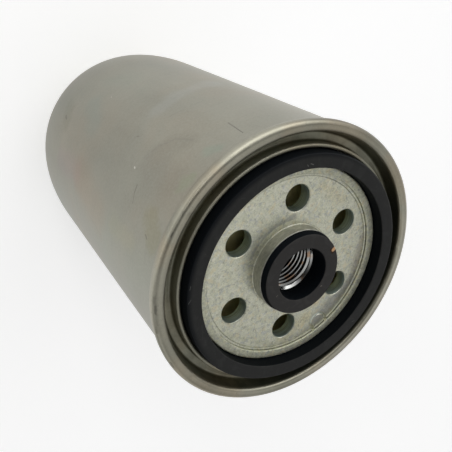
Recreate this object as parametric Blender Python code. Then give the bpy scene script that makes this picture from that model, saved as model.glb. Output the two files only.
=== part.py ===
"""Spin-on fuel filter for a small diesel engine, standing on its closed end.

Frame: metres, +Z up along the filter's axis towards the open, threaded end.
Origin: the centre of the closed end.  One inlet hole lies on -Y.
Run with: blender --background --python part.py
"""

from math import cos, pi, sin, sqrt, tan

import bmesh
import bpy
from mathutils import Matrix, Vector

MM = 0.001

# ---------------------------------------------------------------- driving dimensions (mm)
PLATE_Z = 138.5        # outer face of the base plate above the closed end
GAP = 0.30             # clearance kept between pieces that touch on the real filter

CAN_R = 42.55          # canister body, outside
CAN_WALL = 0.70
CAN_BASE_R = 32.0      # flat disc of the closed end
CAN_SHOULDER_Z = 37.0  # height over which the shoulder is drawn in
CAN_NECK_R = 42.70     # the wall flares out a little just below the seam
FLANGE_IN, FLANGE_OUT = 41.50, 42.90   # folded body hook inside the seam
FLANGE_TOP = 1.05      # above the plate face

SHEET = 0.60           # seaming lid sheet
LID_EDGE_R = 28.3      # inner edge of the lid's flange
LID_TOP = 0.75         # top of that flange above the plate face
CHANNEL_IN, CHANNEL_OUT = 30.9, 35.75  # gasket channel walls
CHANNEL_Z = -2.5       # gasket channel floor
BEAD_OUT, BEAD_TOP = 36.95, 0.70       # bright retaining bead round the gasket
GROOVE_Z, GROOVE_OUT = -2.4, 39.75     # groove between bead and rim
RIM_R, RIM_TOP = 43.8, 2.6             # rolled rim
RIM_IN = 40.6          # top of the chuck wall
RIM_HOOK = (42.97, 43.45, -1.2)        # lower edge of the fold outside the can: inside, outside, height

PLATE_R, PLATE_T = 30.0, 4.0
HOLE_R, HOLE_PCD_R, HOLES = 4.0, 21.0, 6
HUB_R, HUB_TOP = 13.0, 3.8
HUB_SEAT_R, HUB_SEAT_Z = 11.6, -0.3    # counterbore that holds the hub seal
THREAD_MINOR_R, THREAD_MAJOR_R = 7.19, 8.0   # M16 x 1.5
HUB_BOTTOM, HUB_NECK_R = -10.0, 11.0

GASKET_IN, GASKET_OUT, GASKET_TOP = 31.25, 35.45, 4.4
SEAL_IN, SEAL_OUT, SEAL_STEM_R, SEAL_TOP = 8.1, 12.25, 11.3, 6.0
SEAL_FOOT_R = 12.6     # the collar widens a little towards the hub

ELEMENT_R = 37.0       # end caps
CAP_T, CAP_SKIRT = 0.5, 4.5
CAP_TOP_Z = -8.0       # outer face of the upper end cap
CAP_BOTTOM_Z = -111.7  # outer face of the lower end cap
OUTLET_R = 11.6
PLEATS, PLEAT_OUT, PLEAT_IN, PAPER = 36, 35.8, 14.3, 0.5
TUBE_OUT, TUBE_IN = 13.5, 12.9
TUBE_HOLE_R, TUBE_ROWS, TUBE_PER_ROW = 2.6, 5, 6
SPRING_R, SPRING_WIRE, SPRING_TURNS = 13.5, 1.8, 5.0
SPRING_Z = (1.0, 25.4)  # above the closed end
SEAT_R, SEAT_SKIRT = 17.0, 3.9

BIG, SMALL = 48, 36    # segments round large and small turned pieces
FIRST_HOLE = -pi / 2   # angle of the first inlet hole

for old in list(bpy.data.objects):
    bpy.data.objects.remove(old, do_unlink=True)


# ---------------------------------------------------------------- helpers
def material(name, colour, roughness, metallic):
    mat = bpy.data.materials.new(name)
    mat.use_nodes = True
    shader = mat.node_tree.nodes["Principled BSDF"]
    shader.inputs["Base Color"].default_value = (*colour, 1.0)
    shader.inputs["Roughness"].default_value = roughness
    shader.inputs["Metallic"].default_value = metallic
    return mat


def empty(name, z, parent=None):
    obj = bpy.data.objects.new(name, None)
    bpy.context.scene.collection.objects.link(obj)
    obj.location = (0.0, 0.0, z * MM)
    obj.parent = parent
    return obj


def rounded(corners):
    """A closed half-section from (radius, height, fillet) corners; a fillet becomes an arc of one or two chords."""
    points = []
    for i, (r, z, fillet) in enumerate(corners):
        here = Vector((r, z))
        steps = 2 if fillet >= 0.5 else 1
        if fillet <= 0:
            points.append(here)
            continue
        before = (Vector(corners[i - 1][:2]) - here).normalized()
        after = (Vector(corners[(i + 1) % len(corners)][:2]) - here).normalized()
        half = before.angle(after) / 2
        reach = fillet / tan(half)
        middle = here + (before + after).normalized() * (fillet / sin(half))
        start, end = here + before * reach - middle, here + after * reach - middle
        sweep = start.angle_signed(end)
        for k in range(steps + 1):
            turn = -sweep * k / steps
            points.append(middle + Vector((start.x * cos(turn) - start.y * sin(turn),
                                           start.x * sin(turn) + start.y * cos(turn))))
    return points


def finish(obj, mat, smooth=True, angle=35):
    obj.data.materials.append(mat)
    if smooth:
        obj.data.shade_smooth()
        obj.data.set_sharp_from_angle(angle=angle * pi / 180)
    return obj


def mesh_object(name, mesh_builder, parent, z):
    bm = bmesh.new()
    mesh_builder(bm)
    bmesh.ops.remove_doubles(bm, verts=bm.verts, dist=1e-7)
    bmesh.ops.recalc_face_normals(bm, faces=bm.faces)
    mesh = bpy.data.meshes.new(name)
    bm.to_mesh(mesh)
    bm.free()
    obj = bpy.data.objects.new(name, mesh)
    bpy.context.scene.collection.objects.link(obj)
    obj.parent = parent
    obj.location = (0.0, 0.0, z * MM)
    return obj


def turned(name, profile, segments, parent, z=0.0, closed=True):
    """A turned piece: the half-section spun about the axis.  An open profile starts and ends on the axis."""
    def build(bm):
        verts = [bm.verts.new((r * MM, 0.0, h * MM)) for r, h in profile]
        edges = [bm.edges.new(pair) for pair in zip(verts, verts[1:])]
        if closed:
            edges.append(bm.edges.new((verts[-1], verts[0])))
        bmesh.ops.spin(bm, geom=verts + edges, cent=(0, 0, 0), axis=(0, 0, 1),
                       angle=2 * pi, steps=segments, use_merge=True)
    return mesh_object(name, build, parent, z)


def prism(name, outline, z0, z1, parent, hole=None):
    """An outline in plan (and a matching inner outline) carried from z0 to z1."""
    def build(bm):
        def ring(points, z):
            return [bm.verts.new((x * MM, y * MM, z * MM)) for x, y in points]
        low, high = ring(outline, z0), ring(outline, z1)
        n = len(outline)
        for i in range(n):
            j = (i + 1) % n
            bm.faces.new((low[i], low[j], high[j], high[i]))
        if hole is None:
            bm.faces.new(low[::-1])
            bm.faces.new(high)
            return
        low_in, high_in = ring(hole, z0), ring(hole, z1)
        for i in range(n):
            j = (i + 1) % n
            bm.faces.new((low_in[j], low_in[i], high_in[i], high_in[j]))
            bm.faces.new((high[i], high[j], high_in[j], high_in[i]))
            bm.faces.new((low[j], low[i], low_in[i], low_in[j]))
    return mesh_object(name, build, parent, 0.0)


def cut(obj, cutter, name):
    cutter.hide_render = True
    cutter.display_type = "WIRE"
    modifier = obj.modifiers.new(name, "BOOLEAN")
    modifier.operation = "DIFFERENCE"
    modifier.object = cutter
    return modifier


def drills(name, places, radius, length, sides, parent, radial=False):
    """Round cutters standing along Z at each place, or lying along the radius."""
    def build(bm):
        for x, y, z in places:
            matrix = Matrix.Translation(Vector((x, y, z)) * MM)
            if radial:
                matrix = matrix @ Vector((x, y, 0)).to_track_quat("Z", "Y").to_matrix().to_4x4()
            bmesh.ops.create_cone(bm, cap_ends=True, segments=sides, radius1=radius * MM,
                                  radius2=radius * MM, depth=length * MM, matrix=matrix)
    return mesh_object(name, build, parent, 0.0)


# ---------------------------------------------------------------- materials
steel = material("satin_steel", (0.36, 0.35, 0.32), 0.38, 0.9)
lid_steel = material("lid_steel", (0.40, 0.39, 0.35), 0.34, 0.9)
zinc = material("spangled_zinc", (0.47, 0.48, 0.40), 0.50, 0.7)
gasket_rubber = material("gasket_rubber", (0.022, 0.022, 0.024), 0.55, 0.0)
seal_rubber = material("seal_rubber", (0.030, 0.028, 0.030), 0.55, 0.0)
washer_rubber = material("washer_rubber", (0.025, 0.025, 0.025), 0.6, 0.0)
compound = material("seam_compound", (0.55, 0.54, 0.50), 0.7, 0.0)
cap_steel = material("cap_steel", (0.42, 0.40, 0.30), 0.45, 0.8)
lower_cap_steel = material("lower_cap_steel", (0.42, 0.40, 0.30), 0.45, 0.8)
paper = material("filter_paper", (0.52, 0.40, 0.16), 0.9, 0.0)
plastisol = material("plastisol", (0.30, 0.22, 0.08), 0.6, 0.0)
lower_plastisol = material("lower_plastisol", (0.30, 0.22, 0.08), 0.6, 0.0)
clip_steel = material("clip_steel", (0.55, 0.55, 0.53), 0.4, 0.9)
tube_steel = material("tube_steel", (0.50, 0.50, 0.47), 0.4, 0.9)
seat_steel = material("seat_steel", (0.45, 0.44, 0.40), 0.4, 0.9)
spring_steel = material("spring_steel", (0.20, 0.20, 0.20), 0.35, 0.9)

# ---------------------------------------------------------------- housing (fixed)
filter_axis = empty("filter_axis", 0.0)
plate_face = empty("plate_face", PLATE_Z, filter_axis)


def shoulder(base_r, drawn_r, floor, top, steps):
    """The drawn-in shoulder: a quarter ellipse from the flat closed end up to the straight wall."""
    return [(base_r + drawn_r * sin(pi / 2 * k / steps),
             floor + (top - floor) * (1 - cos(pi / 2 * k / steps))) for k in range(steps + 1)]


outer_wall = shoulder(CAN_BASE_R, CAN_R - CAN_BASE_R, 0.0, CAN_SHOULDER_Z, 7)
inner_wall = shoulder(CAN_BASE_R, CAN_R - CAN_WALL - CAN_BASE_R, CAN_WALL, CAN_SHOULDER_Z, 5)
flange = [(r, PLATE_Z + z) for r, z in (
    (CAN_R, -8.0), (CAN_R + 0.05, -4.5), (CAN_NECK_R, -2.4), (CAN_NECK_R, -1.0),
    (FLANGE_OUT, -0.3), (FLANGE_OUT, FLANGE_TOP), (FLANGE_IN, FLANGE_TOP),
    (FLANGE_IN, -2.2), (CAN_R - CAN_WALL, -4.5))]
canister = turned("canister", [(0.0, 0.0)] + outer_wall + flange + inner_wall[::-1] + [(0.0, CAN_WALL)],
                  BIG, filter_axis, closed=False)
finish(canister, steel)

seaming_lid = turned("seaming_lid", rounded([
    (LID_EDGE_R, 0.20, 0.0), (LID_EDGE_R, LID_TOP, 0.25),
    (CHANNEL_IN, LID_TOP, 0.5), (CHANNEL_IN, CHANNEL_Z, 0.0),
    (CHANNEL_OUT, CHANNEL_Z, 0.0), (CHANNEL_OUT, BEAD_TOP, 0.56),
    (BEAD_OUT, BEAD_TOP, 0.56), (BEAD_OUT, GROOVE_Z, 0.5),
    (GROOVE_OUT, GROOVE_Z, 0.6), (RIM_IN, RIM_TOP, 1.3), (RIM_R, RIM_TOP, 1.5),
    (RIM_R, 0.2, 0.0), (RIM_HOOK[1], RIM_HOOK[2] + 0.15, 0.0), (RIM_HOOK[1] - 0.15, RIM_HOOK[2], 0.0),
    (RIM_HOOK[0], RIM_HOOK[2], 0.0), (RIM_R - SHEET, 0.2, 0.0), (RIM_R - SHEET, RIM_TOP - SHEET, 0.4),
    (RIM_IN + SHEET, RIM_TOP - SHEET, 0.4), (GROOVE_OUT + SHEET, GROOVE_Z - SHEET, 0.0),
    (CHANNEL_IN - SHEET, CHANNEL_Z - SHEET, 0.0), (CHANNEL_IN - SHEET, 0.20, 0.0),
]), BIG, plate_face)
finish(seaming_lid, lid_steel)

seam_compound = turned("seam_compound", [
    (FLANGE_IN + 0.15, FLANGE_TOP + GAP), (FLANGE_OUT - 0.15, FLANGE_TOP + GAP),
    (FLANGE_OUT - 0.15, RIM_TOP - SHEET - GAP - 0.02), (FLANGE_IN + 0.15, RIM_TOP - SHEET - GAP - 0.02),
], BIG, plate_face)
finish(seam_compound, compound)

base_plate = turned("base_plate", rounded([
    (THREAD_MINOR_R, HUB_BOTTOM + 0.8, 0.0), (THREAD_MINOR_R, HUB_SEAT_Z - 0.8, 0.0),
    (THREAD_MAJOR_R, HUB_SEAT_Z, 0.0), (HUB_SEAT_R, HUB_SEAT_Z, 0.0),
    (HUB_SEAT_R, HUB_TOP, 0.25), (HUB_R, HUB_TOP, 0.45), (HUB_R, 0.0, 1.6),
    (PLATE_R, 0.0, 0.3), (PLATE_R, -PLATE_T, 0.3), (HUB_NECK_R, -PLATE_T, 1.2),
    (HUB_NECK_R, HUB_BOTTOM, 0.4), (THREAD_MAJOR_R, HUB_BOTTOM, 0.0),
]), SMALL, plate_face)
finish(base_plate, zinc)
hole_places = [(HOLE_PCD_R * cos(FIRST_HOLE + 2 * pi * k / HOLES),
                HOLE_PCD_R * sin(FIRST_HOLE + 2 * pi * k / HOLES), -PLATE_T / 2) for k in range(HOLES)]
inlet_drills = drills("inlet_drills", hole_places, HOLE_R, PLATE_T * 2.5, 20, plate_face)
cut(base_plate, inlet_drills, "inlet_holes")

outer_gasket = turned("outer_gasket", rounded([
    (GASKET_IN, CHANNEL_Z + GAP, 0.0), (GASKET_IN, GASKET_TOP, 0.4),
    (GASKET_OUT, GASKET_TOP, 0.4), (GASKET_OUT, CHANNEL_Z + GAP, 0.0),
]), BIG, plate_face)
finish(outer_gasket, gasket_rubber)

hub_seal = turned("hub_seal", rounded([
    (SEAL_IN, HUB_SEAT_Z + GAP, 0.0), (SEAL_IN, SEAL_TOP, 0.35), (SEAL_OUT, SEAL_TOP, 0.35),
    (SEAL_FOOT_R, HUB_TOP + 0.25, 0.0), (SEAL_STEM_R, HUB_TOP + 0.25, 0.0),
    (SEAL_STEM_R, HUB_SEAT_Z + GAP, 0.0),
]), SMALL, plate_face)
finish(hub_seal, seal_rubber)

# ---------------------------------------------------------------- filter element (floats on the spring)
element_axis = empty("element_axis", PLATE_Z, filter_axis)

element_seal = turned("element_seal", rounded([
    (HUB_NECK_R + 0.3, CAP_TOP_Z + GAP, 0.0), (HUB_NECK_R + 0.3, -PLATE_T - 1.3, 0.0),
    (HUB_NECK_R + 1.4, -PLATE_T - GAP, 0.0), (HUB_NECK_R + 3.2, -PLATE_T - GAP, 0.4),
    (HUB_NECK_R + 3.2, CAP_TOP_Z + GAP, 0.0),
]), SMALL, element_axis)
finish(element_seal, washer_rubber)

upper_end_cap = turned("upper_end_cap", rounded([
    (OUTLET_R, CAP_TOP_Z - CAP_T, 0.0), (OUTLET_R, CAP_TOP_Z, 0.0), (ELEMENT_R, CAP_TOP_Z, 0.8),
    (ELEMENT_R, CAP_TOP_Z - CAP_SKIRT, 0.0), (ELEMENT_R - CAP_T, CAP_TOP_Z - CAP_SKIRT, 0.0),
    (ELEMENT_R - CAP_T, CAP_TOP_Z - CAP_T, 0.3),
]), SMALL, element_axis)
finish(upper_end_cap, cap_steel)

pot_in, pot_out, pot_t = TUBE_OUT + GAP, ELEMENT_R - CAP_T - GAP, 2.1
upper_pot_z = CAP_TOP_Z - CAP_T - GAP
upper_potting = turned("upper_potting", [
    (pot_in, upper_pot_z - pot_t), (pot_in, upper_pot_z), (pot_out - 0.3, upper_pot_z),
    (pot_out, upper_pot_z - 0.3), (pot_out, upper_pot_z - pot_t),
], SMALL, element_axis)
finish(upper_potting, plastisol)

lower_pot_z = CAP_BOTTOM_Z + CAP_T + GAP
lower_potting = turned("lower_potting", [
    (pot_in, lower_pot_z), (pot_in, lower_pot_z + pot_t), (pot_out, lower_pot_z + pot_t),
    (pot_out, lower_pot_z + 0.3), (pot_out - 0.3, lower_pot_z),
], SMALL, element_axis)
finish(lower_potting, lower_plastisol)


def pleat_outline(fold_r, fold_half, root_r, root_half):
    """One closed line round the pleats: a flat fold at fold_r, then a flat root at root_r, and so on."""
    points = []
    for k in range(PLEATS):
        for angle, r, half in ((2 * pi * k / PLEATS, fold_r, fold_half),
                               (2 * pi * (k + 0.5) / PLEATS, root_r, root_half)):
            for side in (-half, half):
                points.append((r * cos(angle) - side * sin(angle), r * sin(angle) + side * cos(angle)))
    return points


paper_z = (lower_pot_z + pot_t + GAP, upper_pot_z - pot_t - GAP)
pleated_media = prism("pleated_media", pleat_outline(PLEAT_OUT, 1.2, PLEAT_IN + PAPER, 0.4),
                      *paper_z, element_axis,
                      hole=pleat_outline(PLEAT_OUT - PAPER, 0.7, PLEAT_IN, 0.9))
finish(pleated_media, paper, smooth=False)

clip_angle = 2 * pi * 9.5 / PLEATS
clip_section = [(29.5, -0.75), (35.6, -0.75), (35.6, 0.75), (29.5, 0.75),
                (29.5, 0.25), (35.0, 0.25), (35.0, -0.25), (29.5, -0.25)]
media_seam_clip = prism("media_seam_clip", [
    (x * cos(clip_angle) - y * sin(clip_angle), x * sin(clip_angle) + y * cos(clip_angle))
    for x, y in clip_section], paper_z[0] + 0.5, paper_z[1] - 0.5, element_axis)
finish(media_seam_clip, clip_steel, smooth=False)

centre_tube = turned("centre_tube", [
    (TUBE_IN, CAP_BOTTOM_Z + CAP_T + GAP), (TUBE_OUT, CAP_BOTTOM_Z + CAP_T + GAP),
    (TUBE_OUT, CAP_TOP_Z - CAP_T - GAP), (TUBE_IN, CAP_TOP_Z - CAP_T - GAP),
], 24, element_axis)
finish(centre_tube, tube_steel)
tube_span = CAP_TOP_Z - CAP_BOTTOM_Z
tube_places = []
for row in range(TUBE_ROWS):
    z = CAP_BOTTOM_Z + tube_span * (row + 0.75) / (TUBE_ROWS + 0.5)
    for k in range(TUBE_PER_ROW):
        angle = 2 * pi * (k + 0.5 * (row % 2)) / TUBE_PER_ROW + pi / 24
        tube_places.append((TUBE_OUT * cos(angle), TUBE_OUT * sin(angle), z))
tube_drills = drills("tube_drills", tube_places, TUBE_HOLE_R, 5.0, 8, element_axis, radial=True)
cut(centre_tube, tube_drills, "perforations")

lower_end_cap = turned("lower_end_cap", [
    (0.0, CAP_BOTTOM_Z), (ELEMENT_R - 0.6, CAP_BOTTOM_Z), (ELEMENT_R, CAP_BOTTOM_Z + 0.6),
    (ELEMENT_R, CAP_BOTTOM_Z + CAP_SKIRT), (ELEMENT_R - CAP_T, CAP_BOTTOM_Z + CAP_SKIRT),
    (ELEMENT_R - CAP_T, CAP_BOTTOM_Z + CAP_T), (0.0, CAP_BOTTOM_Z + CAP_T),
], SMALL, element_axis, closed=False)
finish(lower_end_cap, lower_cap_steel)

seat_z = CAP_BOTTOM_Z - GAP
spring_seat = turned("spring_seat", [
    (0.0, seat_z - 0.6), (SEAT_R - 0.8, seat_z - 0.6), (SEAT_R - 0.6, seat_z - SEAT_SKIRT),
    (SEAT_R, seat_z - SEAT_SKIRT), (SEAT_R, seat_z - 0.5), (SEAT_R - 0.5, seat_z), (0.0, seat_z),
], SMALL, element_axis, closed=False)
finish(spring_seat, seat_steel)


# ---------------------------------------------------------------- spring (closed ends, squared by a slower pitch)
def coil(z_low, z_high, radius, wire, turns, per_turn):
    points = []
    count = int(turns * per_turn)
    low, high = z_low + wire / 2, z_high - wire / 2
    for k in range(count + 1):
        turn = turns * k / count
        # each end turn climbs by one wire; the rest of the height goes to the free turns
        if turn <= 1:
            climb = wire * 1.08 * turn
        elif turn >= turns - 1:
            climb = (high - low) - wire * 1.08 * (turns - turn)
        else:
            free = (high - low) - 2 * wire * 1.08
            climb = wire * 1.08 + free * (turn - 1) / (turns - 2)
        points.append((radius * cos(2 * pi * turn), radius * sin(2 * pi * turn), low + climb))
    return points


curve = bpy.data.curves.new("spring", "CURVE")
curve.dimensions = "3D"
curve.bevel_depth = SPRING_WIRE / 2 * MM
curve.bevel_resolution = 1
curve.use_fill_caps = True
wire_points = coil(*SPRING_Z, SPRING_R, SPRING_WIRE, SPRING_TURNS, 16)
spline = curve.splines.new("POLY")
spline.points.add(len(wire_points) - 1)
for point, (x, y, z) in zip(spline.points, wire_points):
    point.co = (x * MM, y * MM, z * MM, 1.0)
spring = bpy.data.objects.new("spring", curve)
bpy.context.scene.collection.objects.link(spring)
spring.parent = filter_axis
curve.materials.append(spring_steel)
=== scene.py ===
"""Looks for the spin-on fuel filter: fine turned meshes, procedural finishes, studio light and the camera.

Lengths in the tables are millimetres above the base plate's outer face; the meshes are in metres in the row's frame.
"""

from math import atan2, ceil, cos, degrees, hypot, pi, radians, sin, tan

import bmesh
import bpy
import numpy as np
from mathutils import Euler, Matrix, Vector


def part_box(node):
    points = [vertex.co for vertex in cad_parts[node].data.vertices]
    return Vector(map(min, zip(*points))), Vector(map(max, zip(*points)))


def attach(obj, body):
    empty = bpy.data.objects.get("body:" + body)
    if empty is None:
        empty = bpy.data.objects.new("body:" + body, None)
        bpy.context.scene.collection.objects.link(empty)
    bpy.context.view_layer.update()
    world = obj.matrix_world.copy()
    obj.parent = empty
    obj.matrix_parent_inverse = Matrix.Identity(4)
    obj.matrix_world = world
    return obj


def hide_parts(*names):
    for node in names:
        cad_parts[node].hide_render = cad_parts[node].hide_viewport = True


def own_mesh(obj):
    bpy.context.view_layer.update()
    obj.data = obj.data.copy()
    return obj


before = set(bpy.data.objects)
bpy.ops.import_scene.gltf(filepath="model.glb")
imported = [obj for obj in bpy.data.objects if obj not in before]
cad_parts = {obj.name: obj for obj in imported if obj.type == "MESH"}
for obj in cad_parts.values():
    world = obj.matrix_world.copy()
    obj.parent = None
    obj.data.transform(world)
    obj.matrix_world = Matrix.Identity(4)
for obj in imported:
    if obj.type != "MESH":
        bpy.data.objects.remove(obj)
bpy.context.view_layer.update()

MM = 0.001
plate_low, plate_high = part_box("base_plate")
FACE = plate_low.z / MM + 10.0          # the plate's outer face, above the closed end
ROUND = 256                             # segments of the big turned pieces


# ================================================================ mesh helpers
def rounded(corners, step=9.0):
    """A polyline from (radius, height, fillet) corners, each fillet an arc with a chord every few degrees."""
    points = []
    for i, (r, z, fillet) in enumerate(corners):
        here = Vector((r, z))
        if fillet <= 0:
            points.append(here)
            continue
        before = (Vector(corners[i - 1][:2]) - here).normalized()
        after = (Vector(corners[(i + 1) % len(corners)][:2]) - here).normalized()
        half = before.angle(after) / 2
        reach = fillet / tan(half)
        middle = here + (before + after).normalized() * (fillet / sin(half))
        start, end = here + before * reach - middle, here + after * reach - middle
        sweep = start.angle_signed(end)
        steps = max(2, ceil(abs(degrees(sweep)) / step))
        for k in range(steps + 1):
            turn = -sweep * k / steps
            points.append(middle + Vector((start.x * cos(turn) - start.y * sin(turn),
                                           start.x * sin(turn) + start.y * cos(turn))))
    return [(p[0], p[1]) for p in points]


def finer(profile, longest, closed=True):
    """The same line with points added wherever a straight run is longer than longest."""
    out = []
    count = len(profile)
    for i in range(count if closed else count - 1):
        (r0, z0), (r1, z1) = profile[i], profile[(i + 1) % count]
        parts = max(1, ceil(hypot(r1 - r0, z1 - z0) / longest))
        for k in range(parts):
            out.append((r0 + (r1 - r0) * k / parts, z0 + (z1 - z0) * k / parts))
    if not closed:
        out.append(profile[-1])
    return out


def piece(name, points, faces, sharp=32.0):
    """A mesh object from millimetre points above the plate's face, normals out, smooth with creases kept."""
    mesh = bpy.data.meshes.new(name)
    mesh.from_pydata([(x * MM, y * MM, (z + FACE) * MM) for x, y, z in points], [], faces)
    bm = bmesh.new()
    bm.from_mesh(mesh)
    bmesh.ops.remove_doubles(bm, verts=bm.verts, dist=2e-7)
    bmesh.ops.recalc_face_normals(bm, faces=bm.faces)
    bm.to_mesh(mesh)
    bm.free()
    mesh.shade_smooth()
    mesh.set_sharp_from_angle(angle=radians(sharp))
    obj = bpy.data.objects.new(name, mesh)
    bpy.context.scene.collection.objects.link(obj)
    return obj


def turned_grid(profile, segments=ROUND, closed=True, warp=None):
    """Points and faces of a half-section turned about Z.  warp(r, z, angle) may move each point."""
    points, faces, rows = [], [], []
    for r, z in profile:
        row = []
        if r < 1e-6:
            row = [len(points)] * segments
            points.append((0.0, 0.0, z))
        else:
            for j in range(segments):
                angle = 2 * pi * j / segments
                rr, zz = (r, z) if warp is None else warp(r, z, angle)
                row.append(len(points))
                points.append((rr * cos(angle), rr * sin(angle), zz))
        rows.append(row)
    pairs = list(zip(rows, rows[1:])) + ([(rows[-1], rows[0])] if closed else [])
    for a, b in pairs:
        for j in range(segments):
            k = (j + 1) % segments
            face = [a[j], b[j], b[k], a[k]]
            face = [v for i, v in enumerate(face) if v not in face[:i]]
            if len(face) > 2:
                faces.append(face)
    return points, faces


def turned(name, profile, segments=ROUND, closed=True, warp=None, sharp=32.0):
    return piece(name, *turned_grid(profile, segments, closed, warp), sharp=sharp)


def bump_at(angle, centre, width):
    """1 at the centre angle (degrees), falling smoothly to 0 over about one width."""
    d = (degrees(angle) - centre + 180.0) % 360.0 - 180.0
    return float(np.exp(-(d / width) ** 2))


def wander(angle, seed, amount):
    """A slow, seamless wobble round the axis, as hand-run rolling tools leave."""
    return amount * (0.5 * sin(2 * angle + seed) + 0.3 * sin(5 * angle + 2.1 * seed) + 0.2 * sin(9 * angle + 3.7 * seed))


def carve(obj, cutters, sharp=32.0):
    """Cuts the cutters out of obj and keeps the result as its mesh."""
    for cutter in cutters:
        modifier = obj.modifiers.new(cutter.name, "BOOLEAN")
        modifier.operation = "DIFFERENCE"
        modifier.object = cutter
    made = bpy.data.meshes.new_from_object(obj.evaluated_get(bpy.context.evaluated_depsgraph_get()))
    obj.modifiers.clear()
    obj.data = made
    made.shade_smooth()
    made.set_sharp_from_angle(angle=radians(sharp))
    for polygon in made.polygons:
        if abs(polygon.normal.z) > 0.99995:
            polygon.use_smooth = False
    for cutter in cutters:
        bpy.data.objects.remove(cutter, do_unlink=True)
    return obj


def stands_for(obj, node, body, material):
    obj.data.materials.clear()
    obj.data.materials.append(material)
    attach(obj, body)
    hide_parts(node)
    return obj


# ================================================================ procedural finishes
class Look:
    """A material built from nodes round one Principled shader; positions are the object's own, in metres."""

    def __init__(self, name, **shader):
        self.mat = bpy.data.materials.new(name)
        self.mat.use_nodes = True
        self.tree = self.mat.node_tree
        self.bsdf = self.tree.nodes["Principled BSDF"]
        for socket, value in shader.items():
            self.bsdf.inputs[socket.replace("_", " ")].default_value = value
        self.at = self.add("TexCoord").outputs["Object"]

    def add(self, kind, *inputs, **settings):
        node = self.tree.nodes.new("ShaderNode" + kind)
        for key, value in settings.items():
            setattr(node, key, value)
        for i, value in enumerate(inputs):
            self.put(node.inputs[i], value)
        return node

    def put(self, socket, value):
        if isinstance(value, bpy.types.NodeSocket):
            self.tree.links.new(value, socket)
        elif value is not None:
            socket.default_value = value

    def maths(self, operation, a, b=None, clamp=False):
        return self.add("Math", a, b, operation=operation, use_clamp=clamp).outputs[0]

    def noise(self, scale, detail=3.0, rough=0.55, at=None, warp=0.0, output=0):
        node = self.add("TexNoise")
        self.put(node.inputs["Vector"], at or self.at)
        self.put(node.inputs["Scale"], scale)
        self.put(node.inputs["Detail"], detail)
        self.put(node.inputs["Roughness"], rough)
        self.put(node.inputs["Distortion"], warp)
        return node.outputs[output]

    def cells(self, scale, feature="F1", at=None, output=0):
        node = self.add("TexVoronoi", feature=feature)
        self.put(node.inputs["Vector"], at or self.at)
        self.put(node.inputs["Scale"], scale)
        return node.outputs[output]

    def stretch(self, x, y, z, at=None):
        return self.add("VectorMath", at or self.at, (x, y, z), operation="MULTIPLY").outputs[0]

    def shifted(self, x, y, z):
        return self.add("VectorMath", self.at, (x, y, z), operation="ADD").outputs[0]

    def ragged(self, scale, reach_mm, detail=3.0):
        """The position pushed about by a noise, so that stains get uneven edges."""
        push = self.add("VectorMath", self.noise(scale, detail, 0.6, output=1), (0.5, 0.5, 0.5), operation="SUBTRACT")
        size = self.add("VectorMath", push.outputs[0], operation="SCALE")
        self.put(size.inputs["Scale"], 2 * reach_mm * MM)
        return self.add("VectorMath", self.at, size.outputs[0], operation="ADD").outputs[0]

    def span(self, value, low, high, to_low=0.0, to_high=1.0, smooth=False):
        node = self.add("MapRange", value, low, high, to_low, to_high)
        if smooth:
            node.interpolation_type = "SMOOTHSTEP"
        return node.outputs[0]

    def blend(self, factor, a, b, how="MIX"):
        node = self.add("Mix", data_type="RGBA", blend_type=how)
        self.put(node.inputs[0], factor)
        self.put(node.inputs[6], (*a, 1.0) if isinstance(a, tuple) else a)
        self.put(node.inputs[7], (*b, 1.0) if isinstance(b, tuple) else b)
        return node.outputs[2]

    def mix(self, factor, a, b):
        return self.add("Mix", factor, None, a, b).outputs[0]

    def relief(self, height, depth_mm, strength=1.0, under=None):
        node = self.add("Bump")
        self.put(node.inputs["Strength"], strength)
        self.put(node.inputs["Distance"], depth_mm * MM)
        self.put(node.inputs["Height"], height)
        if under is not None:
            self.put(node.inputs["Normal"], under)
        return node.outputs[0]

    def polar(self):
        """(angle in radians, radius in metres, height in metres) sockets about the filter's axis."""
        split = self.add("SeparateXYZ", self.at)
        x, y, z = split.outputs
        return (self.maths("ARCTAN2", y, x),
                self.maths("SQRT", self.maths("ADD", self.maths("MULTIPLY", x, x), self.maths("MULTIPLY", y, y))), z)

    def mark(self, start, end, half_width, soft=0.5, at=None):
        """1 within half_width (mm) of the line between two points in mm, fading out over soft of that width."""
        a, b = Vector(start) * MM, Vector(end) * MM
        ab = b - a
        to_point = self.add("VectorMath", at or self.at, tuple(a), operation="SUBTRACT").outputs[0]
        along = self.add("VectorMath", to_point, tuple(ab / max(ab.length_squared, 1e-12)), operation="DOT_PRODUCT")
        share = self.maths("ADD", along.outputs["Value"], 0.0, clamp=True)
        back = self.add("VectorMath", tuple(ab), operation="SCALE")
        self.put(back.inputs["Scale"], share)
        off = self.add("VectorMath", to_point, back.outputs[0], operation="DISTANCE").outputs["Value"]
        return self.span(off, half_width * MM, half_width * (1 - soft) * MM, smooth=True)

    def marks(self, table, at=None):
        """The strongest of several marks, each (start, end, half width in mm, strength)."""
        worst = None
        for start, end, width, strength in table:
            one = self.maths("MULTIPLY", self.mark(start, end, width, at=at), strength)
            worst = one if worst is None else self.maths("MAXIMUM", worst, one)
        return worst

    def colour(self, value):
        self.put(self.bsdf.inputs["Base Color"], value)

    def roughness(self, value):
        self.put(self.bsdf.inputs["Roughness"], value)

    def normal(self, value):
        self.put(self.bsdf.inputs["Normal"], value)


def on_wall(angle, height, radius=42.55):
    """A point on the can's wall (mm, row frame) at an angle in degrees and a height above the closed end."""
    return radius * cos(radians(angle)), radius * sin(radians(angle)), height


def on_face(angle, radius, height=0.0):
    """A point above the plate's face (mm, row frame) at an angle in degrees and a radius."""
    return radius * cos(radians(angle)), radius * sin(radians(angle)), FACE + height


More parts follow.
